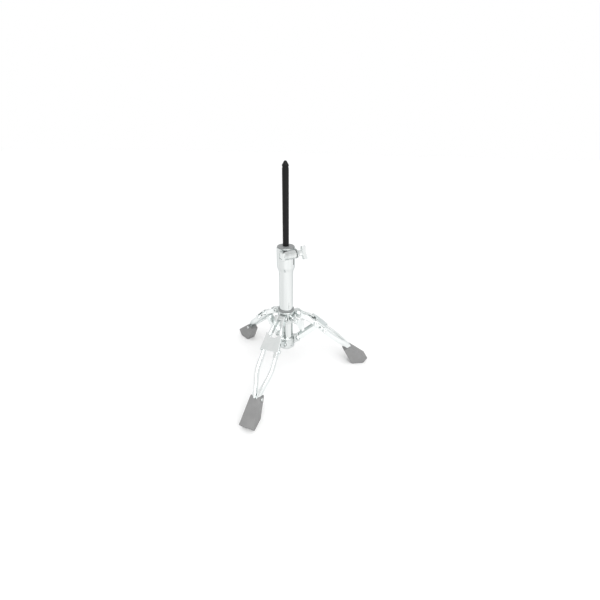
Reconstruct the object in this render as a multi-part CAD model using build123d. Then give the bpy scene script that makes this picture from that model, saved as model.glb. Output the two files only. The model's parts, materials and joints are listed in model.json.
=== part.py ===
from build123d import *
import os
from math import atan2, cos, degrees, sin, sqrt

# Double-braced folding tripod base with a clamped height rod, in millimetres.
# +Z is up, the feet stand on Z = 0 and the column's axis is the Z axis.
# A leg is drawn in its own frame (X outwards from the column, Y sideways, Z up)
# and then turned to its azimuth about the column.

# ---------------------------------------------------------------- driving sizes
LEGS = {"front": -90.0, "right": 30.0, "left": 150.0}   # azimuths of the three legs
BETWEEN_LEGS = 60.0       # from a leg to the middle of the gap beside it

# folding linkage: hub pivot, leg-to-brace pivot and lower collar pivot
PIVOT_R = 33.0            # hub and collar pivots stand at one radius, so the column drops straight down
HUB_PIVOT_Z = 195.0
COLLAR_PIVOT_Z = 111.0
BRACE_PIVOT_R = 95.0
BRACE_PIVOT_Z = (HUB_PIVOT_Z + COLLAR_PIVOT_Z) / 2       # half-way, so both links are equally long
HUB_PIVOT = (PIVOT_R, HUB_PIVOT_Z)
COLLAR_PIVOT = (PIVOT_R, COLLAR_PIVOT_Z)
BRACE_PIVOT = (BRACE_PIVOT_R, BRACE_PIVOT_Z)

# clearances
RUNNING = 0.05            # radial clearance of a part that turns on a pin or a rod that slides
LOOSE = 0.3               # radial clearance of the collar pivots and of plain through holes
FACE_GAP = 0.2            # side clearance between turning faces
THROUGH = 60.0            # reach of a cutter that passes right through a piece

# fasteners: shank radius, head radius and height, nut size across flats and height
PIVOT_BOLT_R = 4.0
PIVOT_HEAD_R = 7.2
PIVOT_HEAD_H = 4.6
PIVOT_NUT_AF = 13.0
PIVOT_NUT_H = 7.0
BRACE_PIN_R = 3.0
BRACE_HEAD_R = 5.4
BRACE_HEAD_H = 3.2
BRACE_NUT_AF = 10.0
BRACE_NUT_H = 5.0
SMALL_BOLT_R = 2.5
SMALL_HEAD_R = 4.6
SMALL_HEAD_H = 3.2
SMALL_SHANK = 9.0
THREAD_SHOWN = 1.5        # how far a bolt stands out of its nut

# column
TUBE_R = 19.05
TUBE_WALL = 2.0
TUBE_BORE_R = TUBE_R - TUBE_WALL
TUBE_BOTTOM_Z = 88.0
TUBE_TOP_Z = 390.0

# height rod, its tapered tip and its guide
ROD_R = 7.94
ROD_WALL = 2.0
ROD_BORE_R = ROD_R - ROD_WALL
ROD_BOTTOM_Z = 170.0
ROD_TUBE_TOP_Z = 576.0
ROD_TIP_Z = 591.0
TIP_SPIGOT = 14.0         # length of the tip inside the rod
TIP_GROOVE_R = 7.1
TIP_GROOVE_H = 3.0
TIP_LAND_H = 3.0
TIP_CROWN_R = 3.0         # rounded end of the cone
TIP_CROWN_H = 1.0
GUIDE_LOW_Z = ROD_BOTTOM_Z + 6
GUIDE_HIGH_Z = ROD_BOTTOM_Z + 26
CLIP_R = ROD_R + 3.0
CLIP_T = 1.5
CLIP_GAP = 0.1

# top clamp
CLAMP_R = 24.0
CLAMP_NECK_R = 20.6
CLAMP_BOTTOM_Z = 328.0
CLAMP_SHOULDER_Z = 337.0
BOSS_AZIMUTH = -39.0      # direction in which the clamp boss stands off the column
BOSS_OFFSET = 28.0        # column axis to clamp bolt axis
BOSS_Z = 377.5
BOSS_R = 11.5
BOSS_LEFT = -22.0         # ends of the round boss, along the clamp bolt
BOSS_RIGHT = 17.0
SLIT_AT = 11.0
SLIT_W = 2.5
SLIT_BOTTOM_Z = 346.0
BLOCK_L = 8.0             # square end block that holds the bolt's head
BLOCK_H = 21.0
BLOCK_D = 19.0
CLAMP_HEAD_W = 13.0
CLAMP_HEAD_L = 5.5
WASHER_R = 9.0
WASHER_T = 2.0
WING_NUT_TILT = 22.0
WING_NUT_LENGTH = 25.0
WING_NUT_SPAN = 35.0
BUSH_FLANGE_R = 22.3
BUSH_FLANGE_H = 3.0
BUSH_LENGTH = 44.0
ROD_FIT = 0.06

# hub and its wing screw
HUB_R = 23.6
HUB_BORE_R = 21.0
HUB_BOTTOM_Z = 172.0
HUB_TOP_Z = 207.0
HUB_RING_R = 22.15
HUB_RING_H = 6.0
TONGUE_HALF = 7.3
TONGUE_END_R = 9.5
WING_AZIMUTH = -30.0
WING_Z = 190.0
WING_BOSS_R = 8.0
WING_BOSS_END = 35.0
WING_START = 42.0         # column axis to the near end of the wing
WING_LENGTH = 34.0
WING_SPAN = 36.0
WING_T = 9.0
WING_BARREL_R = 8.0
WING_BARREL_L = 12.0
SCREW_TRAVEL = 2.5        # how far a wing screw backs out in its two turns
PAD_R = 5.5
PAD_BACK = HUB_BORE_R + 1.0
PAD_RECESS_END = PAD_BACK + SCREW_TRAVEL + 0.6

# legs: the bars' centreline as (radius, half the distance between the bars, height)
BAR_POINTS = [(46.0, 10.2, 187.0), (70.0, 14.0, 174.0), (BRACE_PIVOT_R, 17.4, BRACE_PIVOT_Z),
              (124.0, 18.8, 126.0), (150.0, 19.4, 104.0), (170.0, 14.0, 86.5), (186.0, 8.2, 71.0),
              (208.0, 6.4, 45.0)]
BAR_W = 10.4
BAR_H = 16.0
BAR_SECTIONS = 14
BAR_OPENING = 0.16        # share of the bar's length over which the flat tab opens into the oval
TAB_T = 5.0
TAB_END_R = 9.4
TAB_INNER = TONGUE_HALF + FACE_GAP
TAB_OUTER = TAB_INNER + TAB_T
PIVOT_HEAD_AT = TAB_OUTER + FACE_GAP

# feet: the side outline as (radius, height), then the plan's half-width at the heel and at the toe
FOOT_SIDE = [(180.0, 52.0), (202.0, 65.0), (260.0, 19.0), (248.0, 0.0), (209.0, 0.0)]
FOOT_HEEL_R = 179.0
FOOT_TOE_R = 261.0
FOOT_HEEL_HALF = 13.0
FOOT_TOE_HALF = 18.6
FOOT_ROUND = 2.0
FOOT_CORNER = 3.0
FOOT_BOLT = (199.0, 55.5)
MOUTH = (200.0, 64.0)     # middle of the scoop at the foot's upper edge
MOUTH_R = 7.0
MOUTH_DEPTH = 8.0

# braces: an open channel
BRACE_HALF = 9.6
BRACE_T = 2.3
BRACE_DEPTH = 14.0
BRACE_INNER = BRACE_HALF - BRACE_T
SLEEVE_R = 5.5

# yokes: a plate across both bars, with lugs for the brace and ears for its bolts
YOKE_SLOPE = atan2(BAR_POINTS[1][2] - BAR_POINTS[3][2], BAR_POINTS[3][0] - BAR_POINTS[1][0])
YOKE_HALF_L = 23.0
YOKE_T = 3.0
YOKE_STANDOFF = BAR_H / 2 + 0.2
YOKE_LUG_T = 2.4
YOKE_LUG_INNER = BRACE_HALF + FACE_GAP
YOKE_LUG_OUTER = YOKE_LUG_INNER + YOKE_LUG_T
YOKE_LUG_END_R = 6.5
YOKE_EARS_AT = (-18.5, 18.5)
YOKE_EAR_R = 5.5
YOKE_EAR_T = 2.6
YOKE_EAR_WALL = 2.2       # what shows of an ear beyond the bar
YOKE_BITE_R = 14.5        # round bite out of the plate's upper edge
YOKE_TONGUE_L = 26.0
YOKE_TONGUE_W = 9.0

# lower collar
COLLAR_R = 23.4
COLLAR_BOTTOM_Z = 86.0
COLLAR_TOP_Z = 121.0
COLLAR_FLOOR = 2.0
COLLAR_DRAIN_R = 12.0
COLLAR_LUG_END_R = 8.4
GRUB_Z = COLLAR_BOTTOM_Z + 10
GRUB_HEX_R = 1.4
GRUB_HEX_DEPTH = 2.0

os.makedirs("parts", exist_ok=True)
NODES = []


# ---------------------------------------------------------------- helpers
def side_plate(profile, low, high):
    """Extrude a profile drawn as (radius, height) between two sideways places of the leg frame."""
    return Pos(0, high, 0) * extrude(Plane.XZ * profile, high - low)


def cross_pin(radius, low, high, at):
    """A cylinder that runs sideways through the leg frame at (radius, height)."""
    return side_plate(Pos(*at) * Circle(radius), low, high)


def cross_hole(radius, at):
    return cross_pin(radius, -THROUGH, THROUGH, at)


def hex_prism(across_flats, low, high, at):
    """A hexagon that runs sideways through the leg frame at (radius, height)."""
    return side_plate(Pos(*at) * RegularPolygon(across_flats / 2, 6, major_radius=False), low, high)


def circle_edge(at, radius):
    return (Pos(*at) * Circle(radius)).edges()[0]


def lug_profile(at, end_r, root_start, root_end):
    """A lug's outline: a round end about the pivot that runs tangent to its straight root."""
    return make_hull(ShapeList([circle_edge(at, end_r), Line(root_start, root_end)]))


def post(radius, low, high):
    """An upright cylinder on the column's axis."""
    return Pos(0, 0, low) * extrude(Circle(radius), high - low)


def ring(inner, outer, low, high):
    return post(outer, low, high) - post(inner, low, high)


def rod_along_x(radius, low, high):
    return Pos(low, 0, 0) * extrude(Plane.YZ * Circle(radius), high - low)


def both_sides(near, far):
    """The sideways spans of a pair of plates, one on each side of the leg."""
    return [(-far, -near), (near, far)]


def three_fold(shape):
    """The same piece at each of the three legs."""
    return [Rot(0, 0, azimuth) * shape for azimuth in LEGS.values()]


def between_legs(shape):
    return Rot(0, 0, BETWEEN_LEGS) * shape


def add(name, *solids):
    """Write one node, which holds one solid or a group of equal fasteners."""
    shape = solids[0] if len(solids) == 1 else Compound(children=[solid.solid() for solid in solids])
    NODES.append(name)
    export_step(shape, f"parts/{name}.step")


def button_bolt(shank_r, head_r, head_h, low, high, at):
    """A domed socket bolt across the leg: its head lies beyond high and its shank reaches to low."""
    head = cross_pin(head_r, high, high + head_h, at)
    head = fillet(head.edges().sort_by(Axis.Y)[-1], head_h * 0.6)
    socket = hex_prism(shank_r * 1.2, high + head_h * 0.45, high + 2 * head_h, at)
    return cross_pin(shank_r, low, high, at) + head - socket


def drilled_nut(across_flats, height, hole_r, high, at):
    """A hexagon nut whose face is at high."""
    return hex_prism(across_flats, high - height, high, at) - cross_hole(hole_r, at)


def wing_handle(barrel_r, barrel_l, length, span, thickness):
    """A die-cast wing: a round barrel along +X that opens into a flat fan with a hollowed back."""
    half = span / 2
    root = barrel_l * 0.62
    flare = root + 5
    tip = length - 11
    hollow = length - 3.2
    upper = Polyline((root, barrel_r * 0.75), (flare, barrel_r * 0.95), (tip, half), (length, half))
    back = ThreePointArc((length, half), (hollow, 0), (length, -half))
    lower = Polyline((length, -half), (tip, -half), (flare, -barrel_r * 0.95), (root, -barrel_r * 0.75),
                     (root, barrel_r * 0.75))
    fan = extrude(Plane.XZ * make_face(Curve() + [upper, back, lower]), thickness / 2, both=True)
    corners = fan.edges().filter_by(Axis.Y).filter_by_position(Axis.X, tip - 1, length + 1)
    barrel = rod_along_x(barrel_r, 0, barrel_l)
    rim = barrel.edges().filter_by(GeomType.CIRCLE).sort_by(Axis.X)[-1]
    return fillet(corners, 2.2) + chamfer(rim, barrel_r * 0.3)


# ---------------------------------------------------------------- hub
def on_wing_screw(shape):
    """Place a piece that is drawn along +X on the axis of the hub's wing screw."""
    return Rot(0, 0, WING_AZIMUTH) * Pos(0, 0, WING_Z) * shape


def build_hub():
    inside = (TUBE_R + HUB_R) / 2 - 9
    body = post(HUB_R, HUB_BOTTOM_Z, HUB_TOP_Z)
    body = chamfer(body.edges().filter_by(GeomType.CIRCLE), 1.2)
    tongue = lug_profile(HUB_PIVOT, TONGUE_END_R, (inside, HUB_BOTTOM_Z + 3), (inside, HUB_TOP_Z - 2.5))
    boss = on_wing_screw(rod_along_x(WING_BOSS_R, inside, WING_BOSS_END))
    boss = chamfer(boss.edges().filter_by(GeomType.CIRCLE).sort_by(Axis.X)[-1], 1.0)
    pad_recess = on_wing_screw(rod_along_x(PAD_R + LOOSE, inside, PAD_RECESS_END))
    casting = body + three_fold(side_plate(tongue, -TONGUE_HALF, TONGUE_HALF)) + boss
    casting -= post(HUB_BORE_R, HUB_BOTTOM_Z - 1, HUB_TOP_Z + 1)
    casting -= three_fold(cross_hole(PIVOT_BOLT_R, HUB_PIVOT))
    casting -= pad_recess
    casting -= on_wing_screw(rod_along_x(PIVOT_BOLT_R + RUNNING, inside, THROUGH))
    add("hub_casting", casting.solid())

    bush = ring(TUBE_R + ROD_FIT, HUB_BORE_R, HUB_BOTTOM_Z, HUB_TOP_Z)
    flange = ring(TUBE_R + ROD_FIT, HUB_RING_R, HUB_TOP_Z, HUB_TOP_Z + HUB_RING_H)
    flange = chamfer(flange.edges().group_by(Axis.Z)[-1].sort_by(SortBy.RADIUS)[-1], 1.0)
    add("hub_bushing", (bush + flange - pad_recess).solid())

    shank_end = -PIVOT_HEAD_AT - PIVOT_NUT_H - THREAD_SHOWN
    bolt = button_bolt(PIVOT_BOLT_R, PIVOT_HEAD_R, PIVOT_HEAD_H, shank_end, PIVOT_HEAD_AT, HUB_PIVOT)
    add("hub_pivot_bolts", *three_fold(bolt))
    nut = drilled_nut(PIVOT_NUT_AF, PIVOT_NUT_H, PIVOT_BOLT_R, -PIVOT_HEAD_AT, HUB_PIVOT)
    add("hub_pivot_nuts", *three_fold(nut))

    pad = rod_along_x(PAD_R, inside, PAD_BACK) - post(TUBE_R + 0.15, -THROUGH, THROUGH)
    add("hub_clamp_pad", on_wing_screw(pad).solid())
    handle = wing_handle(WING_BARREL_R, WING_BARREL_L, WING_LENGTH, WING_SPAN, WING_T)
    screw = Pos(WING_START, 0, 0) * handle + rod_along_x(PIVOT_BOLT_R, PAD_BACK + RUNNING, WING_START + 2)
    add("hub_wing_screw", on_wing_screw(screw).solid())


# ---------------------------------------------------------------- legs
def bar_section(curve, place):
    """The bar's oval at one place along it; it is flattened where it joins the hub tab."""
    opening = min(place / BAR_OPENING, 1.0)
    swell = opening * opening * (3 - 2 * opening)
    width = TAB_T + (BAR_W - TAB_T) * swell
    height = BAR_H - 1.5 * (1 - swell)
    plane = Plane(curve @ place, x_dir=(0, 1, 0), z_dir=curve % place)
    return plane * RectangleRounded(width, height, min(width, height) * 0.46)


def build_bar(side):
    """One bent bar, on the side of the leg that side (-1 or 1) says, with its flat tab at the hub."""
    curve = Spline([(r, side * half, z) for r, half, z in BAR_POINTS])
    places = [i / (BAR_SECTIONS - 1) for i in range(BAR_SECTIONS)]
    bar = loft([bar_section(curve, place) for place in places])
    start_r, _, start_z = BAR_POINTS[0]
    tab_outline = make_hull(ShapeList([circle_edge(HUB_PIVOT, TAB_END_R),
                                       circle_edge((start_r + 5, start_z - 3), 6.6)]))
    low, high = sorted((side * TAB_INNER, side * TAB_OUTER))
    bar += side_plate(tab_outline, low, high)
    bar -= cross_hole(PIVOT_BOLT_R + RUNNING, HUB_PIVOT)
    bar -= cross_hole(BRACE_PIN_R, BRACE_PIVOT)
    return bar - cross_hole(SMALL_BOLT_R, FOOT_BOLT)


def bar_outside_at(radius):
    """How far sideways the bars' outer faces stand at a radius."""
    for (r0, half0, _), (r1, half1, _) in zip(BAR_POINTS, BAR_POINTS[1:]):
        if r0 <= radius <= r1:
            return half0 + (half1 - half0) * (radius - r0) / (r1 - r0) + BAR_W / 2
    raise ValueError(f"no bar at radius {radius}")


def along_yoke(distance, lift=0.0):
    """(radius, height) of a point of the yoke, measured down the leg and outwards from its pivot."""
    return (BRACE_PIVOT_R + distance * cos(YOKE_SLOPE) + lift * sin(YOKE_SLOPE),
            BRACE_PIVOT_Z - distance * sin(YOKE_SLOPE) + lift * cos(YOKE_SLOPE))


def ear_outside(at):
    return bar_outside_at(along_yoke(at)[0]) + YOKE_EAR_WALL


def yoke_plate():
    upper = ear_outside(-YOKE_HALF_L)
    lower = ear_outside(YOKE_HALF_L)
    outline = make_face(Polyline((-YOKE_HALF_L, -upper), (YOKE_HALF_L, -lower), (YOKE_HALF_L, lower),
                                 (-YOKE_HALF_L, upper), close=True))
    outline = fillet(outline.vertices(), 3.0)
    outline += Pos(YOKE_HALF_L + 2, lower - 6.5) * SlotOverall(YOKE_TONGUE_L, YOKE_TONGUE_W)
    outline -= Pos(-YOKE_HALF_L - 4.5, 0) * Circle(YOKE_BITE_R)
    plate = Pos(0, 0, YOKE_STANDOFF) * extrude(outline, YOKE_T)
    plate = chamfer(plate.edges().group_by(Axis.Z)[-1], 0.8)
    plane = Plane((BRACE_PIVOT_R, 0, BRACE_PIVOT_Z), x_dir=(cos(YOKE_SLOPE), 0, -sin(YOKE_SLOPE)),
                  z_dir=(sin(YOKE_SLOPE), 0, cos(YOKE_SLOPE)))
    return Location(plane) * plate


def build_yoke(bars):
    yoke = yoke_plate()
    in_plate = YOKE_STANDOFF + YOKE_T / 2
    lug = lug_profile(BRACE_PIVOT, YOKE_LUG_END_R, along_yoke(-11, in_plate), along_yoke(11, in_plate))
    for low, high in both_sides(YOKE_LUG_INNER, YOKE_LUG_OUTER):
        yoke += side_plate(lug, low, high)
    for at in YOKE_EARS_AT:
        out = ear_outside(at)
        ear = lug_profile(along_yoke(at), YOKE_EAR_R, along_yoke(at - YOKE_EAR_R, in_plate),
                          along_yoke(at + YOKE_EAR_R, in_plate))
        for low, high in both_sides(out - YOKE_EAR_T, out):
            yoke += side_plate(ear, low, high) - cross_hole(SMALL_BOLT_R, along_yoke(at))
    yoke -= cross_hole(BRACE_PIN_R, BRACE_PIVOT)
    return yoke - bars


def build_yoke_bolts():
    bolts = []
    for at in YOKE_EARS_AT:
        out = ear_outside(at)
        bolt = button_bolt(SMALL_BOLT_R, SMALL_HEAD_R, SMALL_HEAD_H, out - SMALL_SHANK, out, along_yoke(at))
        bolts += [bolt, mirror(bolt, about=Plane.XZ)]
    return bolts


def foot_half_at(radius):
    share = (radius - FOOT_HEEL_R) / (FOOT_TOE_R - FOOT_HEEL_R)
    return FOOT_HEEL_HALF + share * (FOOT_TOE_HALF - FOOT_HEEL_HALF)


def build_foot(bars):
    side = make_face(Polyline(*FOOT_SIDE, close=True))
    above_sole = side.vertices().filter_by_position(Axis.Y, 10, 100)
    block = side_plate(fillet(above_sole, FOOT_CORNER), -THROUGH, THROUGH)
    plan = Polyline((FOOT_HEEL_R, -FOOT_HEEL_HALF), (FOOT_TOE_R, -FOOT_TOE_HALF),
                    (FOOT_TOE_R, FOOT_TOE_HALF), (FOOT_HEEL_R, FOOT_HEEL_HALF), close=True)
    foot = block & extrude(make_face(plan), 2 * THROUGH)
    long_edges = foot.edges().filter_by(lambda edge: abs(edge.center().Y) > 5 and edge.center().Z > 3)
    foot = fillet(long_edges, FOOT_ROUND)
    scoop = Plane((MOUTH[0], 0, MOUTH[1]), z_dir=(1, 0, -1)) * Circle(MOUTH_R)
    foot -= extrude(scoop, MOUTH_DEPTH, both=True)
    return foot - bars - cross_hole(SMALL_BOLT_R, FOOT_BOLT)


def build_brace():
    """A channel, open towards the column, between the yoke's lugs and round the collar's lug."""
    run = BRACE_PIVOT_R - PIVOT_R
    rise = BRACE_PIVOT_Z - COLLAR_PIVOT_Z
    length = sqrt(run ** 2 + rise ** 2)
    outline = make_hull(ShapeList([circle_edge((0, 0), BRACE_DEPTH / 2),
                                   circle_edge((length, 0), BRACE_DEPTH / 2)]))
    hollow = Pos(length / 2, BRACE_T) * Rectangle(length + 40, BRACE_DEPTH)
    hollow += [Circle(10.5), Pos(length, 0) * Circle(9.0)]
    brace = side_plate(outline, -BRACE_HALF, BRACE_HALF) - side_plate(hollow, -BRACE_INNER, BRACE_INNER)
    brace -= cross_hole(BRACE_PIN_R + LOOSE, (0, 0))
    brace -= cross_hole(BRACE_PIN_R + RUNNING, (length, 0))
    return Pos(PIVOT_R, 0, COLLAR_PIVOT_Z) * Rot(0, -degrees(atan2(rise, run)), 0) * brace


def build_legs():
    bars = [build_bar(-1), build_bar(1)]
    yoke_bolts = build_yoke_bolts()
    bolt_side = foot_half_at(FOOT_BOLT[0]) + LOOSE
    foot_bolt = button_bolt(SMALL_BOLT_R, SMALL_HEAD_R, SMALL_HEAD_H, 2 - bolt_side, bolt_side, FOOT_BOLT)
    pieces = {
        "leg_bar_left": [bars[0] - yoke_bolts],
        "leg_bar_right": [bars[1] - yoke_bolts],
        "leg_yoke": [build_yoke(bars)],
        "leg_yoke_bolts": yoke_bolts,
        "foot": [build_foot(bars)],
        "foot_bolt": [foot_bolt],
        "brace_pin": [cross_pin(BRACE_PIN_R, -YOKE_LUG_OUTER, YOKE_LUG_OUTER, BRACE_PIVOT)],
        "brace": [build_brace()],
        "brace_sleeve": [cross_pin(SLEEVE_R, -BRACE_INNER, BRACE_INNER, BRACE_PIVOT)
                         - cross_hole(BRACE_PIN_R + RUNNING, BRACE_PIVOT)],
    }
    for leg, azimuth in LEGS.items():
        for piece, solids in pieces.items():
            add(f"{leg}_{piece}", *[(Rot(0, 0, azimuth) * solid).solid() for solid in solids])


# ---------------------------------------------------------------- column
def on_boss(shape):
    """Place a piece drawn with X along the clamp bolt and Y away from the column."""
    return Rot(0, 0, BOSS_AZIMUTH + 90) * mirror(shape, about=Plane.XZ)


def on_clamp_bolt(shape):
    return on_boss(Pos(0, BOSS_OFFSET, BOSS_Z) * shape)


def clamp_slit():
    """The saw cut that lets the clamp and the tube's end close on the bushing."""
    height = TUBE_TOP_Z - SLIT_BOTTOM_Z + 1
    cut = Box(SLIT_W, THROUGH, height, align=(Align.CENTER, Align.MIN, Align.MIN))
    return on_boss(Pos(SLIT_AT, 0, SLIT_BOTTOM_Z) * cut)


def build_column():
    add("base_tube", (ring(TUBE_BORE_R, TUBE_R, TUBE_BOTTOM_Z, TUBE_TOP_Z) - clamp_slit()).solid())

    body = post(COLLAR_R, COLLAR_BOTTOM_Z, COLLAR_TOP_Z)
    body = chamfer(body.edges().filter_by(GeomType.CIRCLE), 1.5)
    lug = lug_profile(COLLAR_PIVOT, COLLAR_LUG_END_R, (COLLAR_DRAIN_R, COLLAR_BOTTOM_Z + 3),
                      (COLLAR_DRAIN_R, COLLAR_TOP_Z - 2))
    lug_half = BRACE_INNER - FACE_GAP
    collar = body + three_fold(side_plate(lug, -lug_half, lug_half))
    collar -= post(TUBE_R, COLLAR_BOTTOM_Z + COLLAR_FLOOR, COLLAR_TOP_Z + 1)
    collar -= post(COLLAR_DRAIN_R, COLLAR_BOTTOM_Z - 1, COLLAR_TOP_Z)
    collar -= three_fold(cross_hole(BRACE_PIN_R, COLLAR_PIVOT))
    collar -= three_fold(between_legs(Pos(0, 0, GRUB_Z) * rod_along_x(SMALL_BOLT_R, TUBE_R, COLLAR_R + 5)))
    add("lower_collar", collar.solid())

    grub_end = COLLAR_R - 0.4
    grub = rod_along_x(SMALL_BOLT_R, TUBE_R + FACE_GAP, grub_end)
    grub -= Pos(grub_end - GRUB_HEX_DEPTH, 0, 0) * extrude(Plane.YZ * RegularPolygon(GRUB_HEX_R, 6), 5)
    add("collar_set_screws", *three_fold(between_legs(Pos(0, 0, GRUB_Z) * grub)))

    head_at = BRACE_HALF + FACE_GAP
    shank_end = -head_at - BRACE_NUT_H - THREAD_SHOWN
    bolt = button_bolt(BRACE_PIN_R, BRACE_HEAD_R, BRACE_HEAD_H, shank_end, head_at, COLLAR_PIVOT)
    add("brace_pivot_bolts", *three_fold(bolt))
    nut = drilled_nut(BRACE_NUT_AF, BRACE_NUT_H, BRACE_PIN_R, -head_at, COLLAR_PIVOT)
    add("brace_pivot_nuts", *three_fold(nut))


def build_clamp():
    profile = Polyline((0, CLAMP_BOTTOM_Z), (CLAMP_NECK_R, CLAMP_BOTTOM_Z), (CLAMP_R, CLAMP_SHOULDER_Z),
                       (CLAMP_R, TUBE_TOP_Z), (0, TUBE_TOP_Z), close=True)
    body = revolve(Plane.XZ * make_face(profile), Axis.Z)
    body = chamfer(body.edges().group_by(Axis.Z)[-1], 0.8)
    barrel = rod_along_x(BOSS_R, BOSS_LEFT - 1, BOSS_RIGHT)
    barrel = chamfer(barrel.edges().filter_by(GeomType.CIRCLE).sort_by(Axis.X)[-1], 1.2)
    web = Box(BOSS_RIGHT - BOSS_LEFT, BOSS_OFFSET, 2 * BOSS_R, align=(Align.MIN, Align.MAX, Align.CENTER))
    web = Pos(BOSS_LEFT, 0, 0) * web
    block = Pos(BOSS_LEFT - BLOCK_L / 2, 0, 0) * Box(BLOCK_L, BLOCK_D, BLOCK_H)
    block = fillet(block.edges().filter_by(Axis.X), 2.0)
    pocket_w = CLAMP_HEAD_W + 2 * FACE_GAP
    pocket = Pos(BOSS_LEFT - BLOCK_L, 0, 0) * Box(2 * (CLAMP_HEAD_L + 1), pocket_w, pocket_w)
    bolt_hole = rod_along_x(PIVOT_BOLT_R + LOOSE, -THROUGH, THROUGH)
    boss = on_clamp_bolt(barrel + web + block - pocket - bolt_hole)
    casting = body + boss - post(TUBE_R, CLAMP_BOTTOM_Z - 1, TUBE_TOP_Z + 1) - clamp_slit()
    add("top_clamp", casting.solid())

    head_start = BOSS_LEFT - BLOCK_L + 1
    head = Box(CLAMP_HEAD_L, CLAMP_HEAD_W, CLAMP_HEAD_W, align=(Align.MIN, Align.CENTER, Align.CENTER))
    head = Pos(head_start, 0, 0) * fillet(head.edges().filter_by(Axis.X), 1.0)
    shank_end = BOSS_RIGHT + WASHER_T + WING_NUT_LENGTH * 0.6
    add("clamp_bolt", on_clamp_bolt(head + rod_along_x(PIVOT_BOLT_R, head_start + 5, shank_end)).solid())
    bolt_clearance = rod_along_x(PIVOT_BOLT_R + RUNNING, 0, shank_end + 0.5)
    washer = rod_along_x(WASHER_R, BOSS_RIGHT + RUNNING, BOSS_RIGHT + WASHER_T) - bolt_clearance
    add("clamp_washer", on_clamp_bolt(washer).solid())
    nut = wing_handle(7.6, 12.0, WING_NUT_LENGTH, WING_NUT_SPAN, WING_T)
    nut = Rot(WING_NUT_TILT, 0, 0) * (Pos(BOSS_RIGHT + WASHER_T + RUNNING, 0, 0) * nut - bolt_clearance)
    add("clamp_wing_nut", on_clamp_bolt(nut).solid())

    bush = ring(ROD_R + ROD_FIT, TUBE_BORE_R, TUBE_TOP_Z - BUSH_LENGTH, TUBE_TOP_Z)
    flange = ring(ROD_R + ROD_FIT, BUSH_FLANGE_R, TUBE_TOP_Z, TUBE_TOP_Z + BUSH_FLANGE_H)
    flange = fillet(flange.edges().group_by(Axis.Z)[-1].sort_by(SortBy.RADIUS)[-1], 1.4)
    add("top_bushing", (bush + flange).solid())


# ---------------------------------------------------------------- rod
def build_tip():
    """A plug in the rod's end, with a groove, a land and a cone that ends in a small crown."""
    spigot_z = ROD_TUBE_TOP_Z - TIP_SPIGOT
    land_z = ROD_TUBE_TOP_Z + TIP_GROOVE_H
    crown_foot = (TIP_CROWN_R, ROD_TIP_Z - TIP_CROWN_H)
    crown_angle = 2 * atan2(TIP_CROWN_H, TIP_CROWN_R)
    crown_r = TIP_CROWN_R / sin(crown_angle)
    crown_mid = (crown_r * sin(crown_angle / 2), ROD_TIP_Z - crown_r * (1 - cos(crown_angle / 2)))
    side = Polyline((0, spigot_z), (ROD_BORE_R, spigot_z), (ROD_BORE_R, ROD_TUBE_TOP_Z),
                    (TIP_GROOVE_R, ROD_TUBE_TOP_Z), (TIP_GROOVE_R, land_z), (ROD_R, land_z),
                    (ROD_R, land_z + TIP_LAND_H), crown_foot)
    crown = ThreePointArc(crown_foot, crown_mid, (0, ROD_TIP_Z))
    axis = Line((0, ROD_TIP_Z), (0, spigot_z))
    return revolve(Plane.XZ * make_face(Curve() + [side, crown, axis]), Axis.Z)


def build_rod():
    add("height_rod", ring(ROD_BORE_R, ROD_R, ROD_BOTTOM_Z, ROD_TUBE_TOP_Z).solid())
    add("rod_tip", build_tip().solid())
    add("rod_guide", ring(ROD_R + RUNNING, TUBE_BORE_R - 0.1, GUIDE_LOW_Z, GUIDE_HIGH_Z).solid())
    lower_clip = ring(ROD_R, CLIP_R, GUIDE_LOW_Z - CLIP_GAP - CLIP_T, GUIDE_LOW_Z - CLIP_GAP)
    upper_clip = ring(ROD_R, CLIP_R, GUIDE_HIGH_Z + CLIP_GAP, GUIDE_HIGH_Z + CLIP_GAP + CLIP_T)
    add("rod_clips", lower_clip, upper_clip)


build_hub()
build_legs()
build_column()
build_clamp()
build_rod()
print(len(NODES), "nodes")
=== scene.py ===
import json
import math

import bmesh
import bpy
from mathutils import Matrix, Vector


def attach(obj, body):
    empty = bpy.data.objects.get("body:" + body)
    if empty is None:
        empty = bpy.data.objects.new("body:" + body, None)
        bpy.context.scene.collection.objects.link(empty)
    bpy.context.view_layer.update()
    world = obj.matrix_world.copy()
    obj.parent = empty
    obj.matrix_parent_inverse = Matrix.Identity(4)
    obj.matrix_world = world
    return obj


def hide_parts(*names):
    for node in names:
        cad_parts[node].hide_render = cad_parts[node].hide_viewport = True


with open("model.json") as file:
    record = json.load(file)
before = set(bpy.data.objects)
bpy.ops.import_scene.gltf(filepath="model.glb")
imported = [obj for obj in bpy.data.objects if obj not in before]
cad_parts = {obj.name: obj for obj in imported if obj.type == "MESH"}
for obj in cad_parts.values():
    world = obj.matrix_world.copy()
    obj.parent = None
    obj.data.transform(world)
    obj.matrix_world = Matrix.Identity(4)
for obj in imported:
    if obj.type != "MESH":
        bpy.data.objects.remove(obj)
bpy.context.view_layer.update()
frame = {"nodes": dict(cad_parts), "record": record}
slot_of = {part["node"]: part["material_slot"] for part in frame["record"]["subparts"]}
LEGS = {"front": -90.0, "right": 30.0, "left": 150.0}    # azimuths of the legs, in degrees

# ---------------------------------------------------------------- camera and studio
CAMERA_AT = (0.2860, -0.6890, 0.6183)
CAMERA_TURN = 19.58       # degrees about +Z from looking along +Y
CAMERA_DIP = 27.03        # degrees below the horizontal
CAMERA_ROLL = 1.0
LENS = 18.0
SENSOR = 36.0
# level of the sky from straight down (0) through the horizon (0.5) to straight up (1)
SKY_LEVELS = [(0.0, 1.0), (0.45, 1.0), (0.66, 0.78), (1.0, 0.92)]
FLOOR_SIZE = 60.0
FLOOR_Z = -0.0005         # just under the soles


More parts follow.
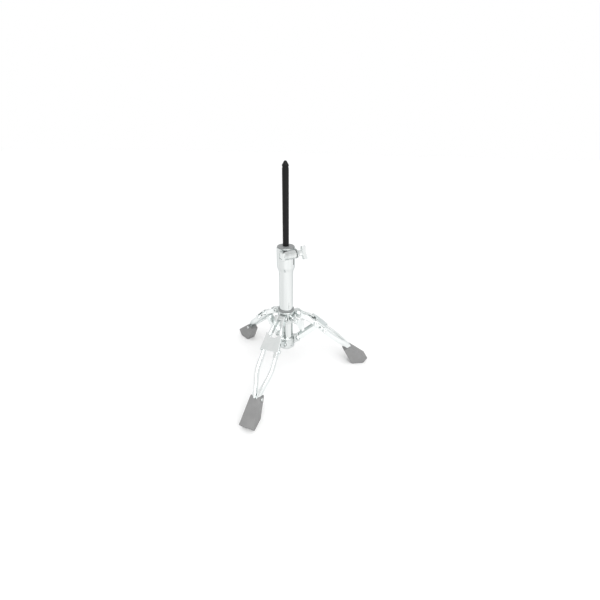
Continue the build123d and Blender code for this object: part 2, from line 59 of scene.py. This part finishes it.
def add_camera():
    data = bpy.data.cameras.new("camera")
    data.lens = LENS
    data.sensor_width = SENSOR
    camera = bpy.data.objects.new("camera", data)
    bpy.context.scene.collection.objects.link(camera)
    turn = Matrix.Rotation(math.radians(CAMERA_TURN), 4, "Z")
    tilt = Matrix.Rotation(math.radians(90 - CAMERA_DIP), 4, "X")
    roll = Matrix.Rotation(math.radians(CAMERA_ROLL), 4, "Z")
    camera.matrix_world = Matrix.Translation(CAMERA_AT) @ turn @ tilt @ roll
    bpy.context.scene.camera = camera


def area_light(name, at, aim, size, power):
    data = bpy.data.lights.new(name, "AREA")
    data.shape = "RECTANGLE"
    data.size, data.size_y = size
    data.energy = power
    light = bpy.data.objects.new(name, data)
    bpy.context.scene.collection.objects.link(light)
    light.location = at
    light.rotation_euler = (Vector(aim) - Vector(at)).to_track_quat("-Z", "Y").to_euler()


def add_sun(strength, softness, direction):
    data = bpy.data.lights.new("sun", "SUN")
    data.energy = strength
    data.angle = math.radians(softness)
    light = bpy.data.objects.new("sun", data)
    bpy.context.scene.collection.objects.link(light)
    light.rotation_euler = Vector(direction).to_track_quat("-Z", "Y").to_euler()


def add_world():
    """White all round at the horizon and dimmer overhead, so that polished metal keeps its shape."""
    world = bpy.data.worlds.new("studio")
    bpy.context.scene.world = world
    world.use_nodes = True
    tree = world.node_tree
    place = tree.nodes.new("ShaderNodeTexCoord").outputs["Generated"]
    split = tree.nodes.new("ShaderNodeSeparateXYZ")
    ramp = tree.nodes.new("ShaderNodeValToRGB")
    elements = ramp.color_ramp.elements
    for element, (at, level) in zip(elements, SKY_LEVELS[:2]):
        element.position, element.color = at, (level, level, level, 1.0)
    for at, level in SKY_LEVELS[2:]:
        elements.new(at).color = (level, level, level, 1.0)
    tree.links.new(place, split.inputs["Vector"])
    tree.links.new(split.outputs["Z"], ramp.inputs["Fac"])
    tree.links.new(ramp.outputs["Color"], tree.nodes["Background"].inputs["Color"])
    tree.nodes["Background"].inputs["Strength"].default_value = 1.0


def add_studio():
    add_world()
    add_sun(0.9, 60.0, (-0.35, 0.45, -1.0))
    area_light("key", (1.1, -1.2, 1.3), (0, 0, 0.2), (0.9, 0.9), 8.0)
    bpy.ops.mesh.primitive_plane_add(size=FLOOR_SIZE, location=(0, 0, FLOOR_Z))
    floor = bpy.context.object
    floor.name = "floor"
    floor.data.materials.append(floor_paper())
    bpy.context.scene.view_settings.view_transform = "Standard"


# ---------------------------------------------------------------- materials
class Maker:
    """Short names for building a node tree."""

    def __init__(self, name):
        self.material = bpy.data.materials.new(name)
        self.material.use_nodes = True
        self.tree = self.material.node_tree
        self.shader = self.tree.nodes["Principled BSDF"]
        self.place = self.node("ShaderNodeTexCoord").outputs["Object"]
        self.normal = None

    def node(self, kind, **values):
        made = self.tree.nodes.new(kind)
        for key, value in values.items():
            setattr(made, key, value)
        return made

    def link(self, out, into):
        self.tree.links.new(out, into)

    def noise(self, scale, detail=4.0, roughness=0.5, stretch=None):
        texture = self.node("ShaderNodeTexNoise")
        texture.inputs["Scale"].default_value = scale
        texture.inputs["Detail"].default_value = detail
        texture.inputs["Roughness"].default_value = roughness
        source = self.place
        if stretch:
            mapping = self.node("ShaderNodeMapping")
            mapping.inputs["Scale"].default_value = stretch
            self.link(self.place, mapping.inputs["Vector"])
            source = mapping.outputs["Vector"]
        self.link(source, texture.inputs["Vector"])
        return texture.outputs["Fac"]

    def ramp(self, value, stops):
        made = self.node("ShaderNodeValToRGB")
        elements = made.color_ramp.elements
        for element, (at, colour) in zip(elements, stops[:2]):
            element.position, element.color = at, (*colour, 1.0)
        for at, colour in stops[2:]:
            elements.new(at).color = (*colour, 1.0)
        self.link(value, made.inputs["Fac"])
        return made.outputs["Color"]

    def colour(self, value, low, high):
        self.link(self.ramp(value, [(0.3, low), (0.7, high)]), self.shader.inputs["Base Color"])

    def span(self, value, low, high):
        made = self.node("ShaderNodeMapRange")
        self.link(value, made.inputs["Value"])
        made.inputs["To Min"].default_value = low
        made.inputs["To Max"].default_value = high
        return made.outputs["Result"]

    def gloss(self, value, low, high):
        self.link(self.span(value, low, high), self.shader.inputs["Roughness"])

    def soften_edges(self, radius):
        """Round the look of hard edges, as casting and polishing do."""
        made = self.node("ShaderNodeBevel")
        made.inputs["Radius"].default_value = radius
        self.normal = made.outputs["Normal"]
        self.link(self.normal, self.shader.inputs["Normal"])

    def bump(self, height, distance, strength=1.0):
        made = self.node("ShaderNodeBump")
        made.inputs["Distance"].default_value = distance
        made.inputs["Strength"].default_value = strength
        self.link(height, made.inputs["Height"])
        if self.normal:
            self.link(self.normal, made.inputs["Normal"])
        self.link(made.outputs["Normal"], self.shader.inputs["Normal"])

    def set(self, **values):
        for key, value in values.items():
            self.shader.inputs[key.replace("_", " ")].default_value = value


def floor_paper():
    make = Maker("floor_paper")
    make.colour(make.noise(3.0, 2.0), (0.925, 0.925, 0.925), (0.935, 0.935, 0.935))
    make.set(Roughness=0.95)
    return make.material


def chrome():
    make = Maker("chrome_plate")
    make.set(Metallic=1.0, Specular_Tint=(0.62, 0.66, 0.66, 1.0))
    make.soften_edges(0.0007)
    make.colour(make.noise(38.0, 5.0, 0.6), (0.80, 0.83, 0.825), (0.87, 0.89, 0.885))
    make.gloss(make.noise(240.0, 3.0, 0.55, stretch=(1, 1, 0.25)), 0.07, 0.17)
    make.bump(make.noise(900.0, 2.0), 0.00002, 0.3)
    return make.material


def cast_chrome():
    """Plating over a casting: a little darker and wavier than over drawn tube."""
    make = Maker("cast_chrome")
    make.set(Metallic=1.0, Specular_Tint=(0.55, 0.58, 0.58, 1.0))
    make.soften_edges(0.0009)
    make.colour(make.noise(70.0, 5.0, 0.6), (0.56, 0.585, 0.58), (0.76, 0.785, 0.78))
    make.gloss(make.noise(220.0, 3.0, 0.55), 0.10, 0.24)
    make.bump(make.noise(190.0, 3.0), 0.00012, 0.35)
    return make.material


def tube_chrome():
    """Drawn tube: broad faint darker streaks run along it, partly polish marks and partly a painted
    reflection of a dark band.
    """
    make = Maker("tube_chrome")
    make.set(Metallic=1.0, Specular_Tint=(0.62, 0.66, 0.66, 1.0))
    # painted reflection: the darker lengthwise streaks in the colour stand in for a dark band reflected in
    # the chrome, and partly for polish marks
    make.colour(make.noise(85.0, 2.0, 0.4, stretch=(1, 1, 0.03)), (0.61, 0.635, 0.63), (0.75, 0.77, 0.765))
    make.gloss(make.noise(300.0, 3.0, 0.55, stretch=(1, 1, 0.1)), 0.08, 0.18)
    make.bump(make.noise(900.0, 2.0), 0.00002, 0.3)
    return make.material


def black_paint():
    make = Maker("black_rod_coating")
    make.set(IOR=1.33, Specular_IOR_Level=0.32)
    make.soften_edges(0.0005)
    mottle = make.noise(300.0, 3.0)
    make.colour(mottle, (0.006, 0.006, 0.0065), (0.010, 0.010, 0.0105))
    make.gloss(mottle, 0.34, 0.48)
    make.bump(make.noise(2500.0, 2.0), 0.00003, 0.4)
    return make.material


def nylon():
    make = Maker("moulded_nylon")
    make.soften_edges(0.0005)
    grain = make.noise(1400.0, 4.0, 0.6)
    make.colour(grain, (0.20, 0.21, 0.21), (0.25, 0.26, 0.26))
    make.gloss(grain, 0.40, 0.58)
    make.bump(grain, 0.00004, 0.5)
    return make.material


def rubber():
    make = Maker("moulded_rubber")
    make.soften_edges(0.0010)
    make.colour(make.noise(45.0, 5.0, 0.6), (0.212, 0.212, 0.212), (0.252, 0.252, 0.252))
    make.gloss(make.noise(160.0, 4.0), 0.62, 0.80)
    make.bump(make.noise(1800.0, 5.0, 0.7), 0.00008, 0.5)
    return make.material


def zinc():
    make = Maker("zinc_plate")
    make.set(Metallic=1.0)
    spangle = make.noise(420.0, 4.0, 0.6)
    make.colour(spangle, (0.52, 0.54, 0.54), (0.64, 0.66, 0.66))
    make.gloss(spangle, 0.25, 0.42)
    return make.material


CAST = cast_chrome()
MATERIALS = {"chrome": chrome(), "black_rod": black_paint(), "black_nylon": nylon(), "foot_rubber": rubber(),
             "zinc_steel": zinc()}


def finish_cad_nodes():
    for node, piece in frame["nodes"].items():
        for slot in piece.material_slots:
            slot.material = MATERIALS[slot_of[node]]
    tube = tube_chrome()
    special = {"base_tube": tube, "top_clamp": tube, "hub_casting": CAST, "lower_collar": CAST,
               "hub_pivot_bolts": CAST, "hub_pivot_nuts": CAST,
               "brace_pivot_bolts": CAST, "brace_pivot_nuts": CAST}
    special.update({f"{leg}_foot_bolt": CAST for leg in LEGS})
    for node, material in special.items():
        for slot in frame["nodes"][node].material_slots:
            slot.material = material


# ---------------------------------------------------------------- pieces
# foot: the side outline as (radius, height), and the half-width at heel and toe, all in metres
FOOT_SIDE = [(0.180, 0.052), (0.202, 0.065), (0.260, 0.019), (0.248, 0.0), (0.209, 0.0)]
HEEL_R, TOE_R = 0.179, 0.261
HEEL_HALF, TOE_HALF = 0.0130, 0.0186
FOOT_ROUND = 0.0022
MOUTH = (0.200, 0.064)
MOUTH_R = 0.007
MOUTH_DEPTH = 0.007
MOUTH_TAPER = 0.9         # the scoop's inner radius over its outer radius
MOUTH_LEAN = 135          # degrees, so that the scoop runs down and outwards into the foot
SOLE_BELOW = 0.001        # edges under this height belong to the flat sole and stay sharp
CREASE = 38               # degrees: smaller angles between faces are shaded smooth
TREAD_COUNT = 6
TREAD_WIDTH = 0.0022
TREAD_DEPTH = 0.0016


def new_object(name, mesh_maker):
    mesh = bpy.data.meshes.new(name)
    made = bmesh.new()
    mesh_maker(made)
    made.to_mesh(mesh)
    made.free()
    piece = bpy.data.objects.new(name, mesh)
    bpy.context.scene.collection.objects.link(piece)
    return piece


def foot_half_at(radius):
    return HEEL_HALF + (radius - HEEL_R) / (TOE_R - HEEL_R) * (TOE_HALF - HEEL_HALF)


def make_wedge(made):
    """The foot's block, with its long edges and corners rounded."""
    rows = [[made.verts.new((r, side * foot_half_at(r), z)) for r, z in FOOT_SIDE] for side in (-1, 1)]
    made.faces.new(rows[0])
    made.faces.new(reversed(rows[1]))
    count = len(FOOT_SIDE)
    for i in range(count):
        j = (i + 1) % count
        made.faces.new((rows[0][j], rows[0][i], rows[1][i], rows[1][j]))
    bmesh.ops.recalc_face_normals(made, faces=made.faces)
    above = [edge for edge in made.edges if max(vert.co.z for vert in edge.verts) > SOLE_BELOW]
    bmesh.ops.bevel(made, geom=above, offset=FOOT_ROUND, segments=4, profile=0.5, affect="EDGES",
                    clamp_overlap=True)


def make_cutter(made):
    """The scoop at the mouth, and the grooves across the sole."""
    lean = Matrix.Rotation(math.radians(MOUTH_LEAN), 4, "Y")
    at = Matrix.Translation((MOUTH[0], 0, MOUTH[1]))
    bmesh.ops.create_cone(made, cap_ends=True, segments=48, radius1=MOUTH_R, radius2=MOUTH_R * MOUTH_TAPER,
                          depth=2 * MOUTH_DEPTH, matrix=at @ lean)
    first, last = FOOT_SIDE[4][0], FOOT_SIDE[3][0]
    for i in range(TREAD_COUNT):
        r = first + (last - first) * (i + 0.5) / TREAD_COUNT
        size = Matrix.Diagonal((TREAD_WIDTH, 0.1, 2 * TREAD_DEPTH, 1.0))
        bmesh.ops.create_cube(made, size=1.0, matrix=Matrix.Translation((r, 0, 0)) @ size)


def evaluated_mesh(piece, name):
    bpy.context.view_layer.update()
    seen = piece.evaluated_get(bpy.context.evaluated_depsgraph_get())
    mesh = bpy.data.meshes.new_from_object(seen)
    mesh.name = name
    return mesh


def foot_mesh():
    wedge = new_object("foot_wedge", make_wedge)
    cutter = new_object("foot_cutter", make_cutter)
    cut = wedge.modifiers.new("cut", "BOOLEAN")
    cut.operation = "DIFFERENCE"
    cut.solver = "EXACT"
    cut.object = cutter
    mesh = evaluated_mesh(wedge, "rubber_foot")
    for helper in (wedge, cutter):
        bpy.data.objects.remove(helper)
    mesh.shade_smooth()
    mesh.set_sharp_from_angle(angle=math.radians(CREASE))
    return mesh


def add_feet():
    shape = foot_mesh()
    for leg, azimuth in LEGS.items():
        mesh = shape.copy()
        mesh.transform(Matrix.Rotation(math.radians(azimuth), 4, "Z"))
        mesh.materials.append(MATERIALS["foot_rubber"])
        piece = bpy.data.objects.new(f"{leg}_rubber_foot", mesh)
        bpy.context.scene.collection.objects.link(piece)
        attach(piece, f"{leg}_leg")
        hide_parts(f"{leg}_foot")


# hub wing screw: where its bare thread shows between the boss and the wing
WING_AZIMUTH = -30.0
WING_Z = 0.190
THREAD_FROM = 0.0358
THREAD_TO = 0.0421
THREAD_R = 0.0040
THREAD_PITCH = 0.00125
THREAD_RIDGE = 0.00042
STEPS_PER_TURN = 28


def add_wing_thread():
    turns = (THREAD_TO - THREAD_FROM) / THREAD_PITCH
    count = int(turns * STEPS_PER_TURN)
    data = bpy.data.curves.new("hub_wing_thread", "CURVE")
    data.dimensions = "3D"
    data.bevel_depth = THREAD_RIDGE
    data.bevel_resolution = 2
    spline = data.splines.new("POLY")
    spline.points.add(count)
    place = Matrix.Rotation(math.radians(WING_AZIMUTH), 4, "Z") @ Matrix.Translation((0, 0, WING_Z))
    for i, point in enumerate(spline.points):
        angle = 2 * math.pi * i / STEPS_PER_TURN
        along = THREAD_FROM + THREAD_PITCH * i / STEPS_PER_TURN
        point.co = (*(place @ Vector((along, THREAD_R * math.cos(angle), THREAD_R * math.sin(angle)))), 1.0)
    curve = bpy.data.objects.new("thread_curve", data)
    bpy.context.scene.collection.objects.link(curve)
    mesh = evaluated_mesh(curve, "hub_wing_thread")
    bpy.data.objects.remove(curve)
    mesh.materials.clear()
    mesh.materials.append(MATERIALS["zinc_steel"])
    mesh.shade_smooth()
    piece = bpy.data.objects.new("hub_wing_thread", mesh)
    bpy.context.scene.collection.objects.link(piece)
    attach(piece, "hub_wing")


finish_cad_nodes()
add_feet()
add_wing_thread()
add_camera()
add_studio()
bpy.context.view_layer.update()
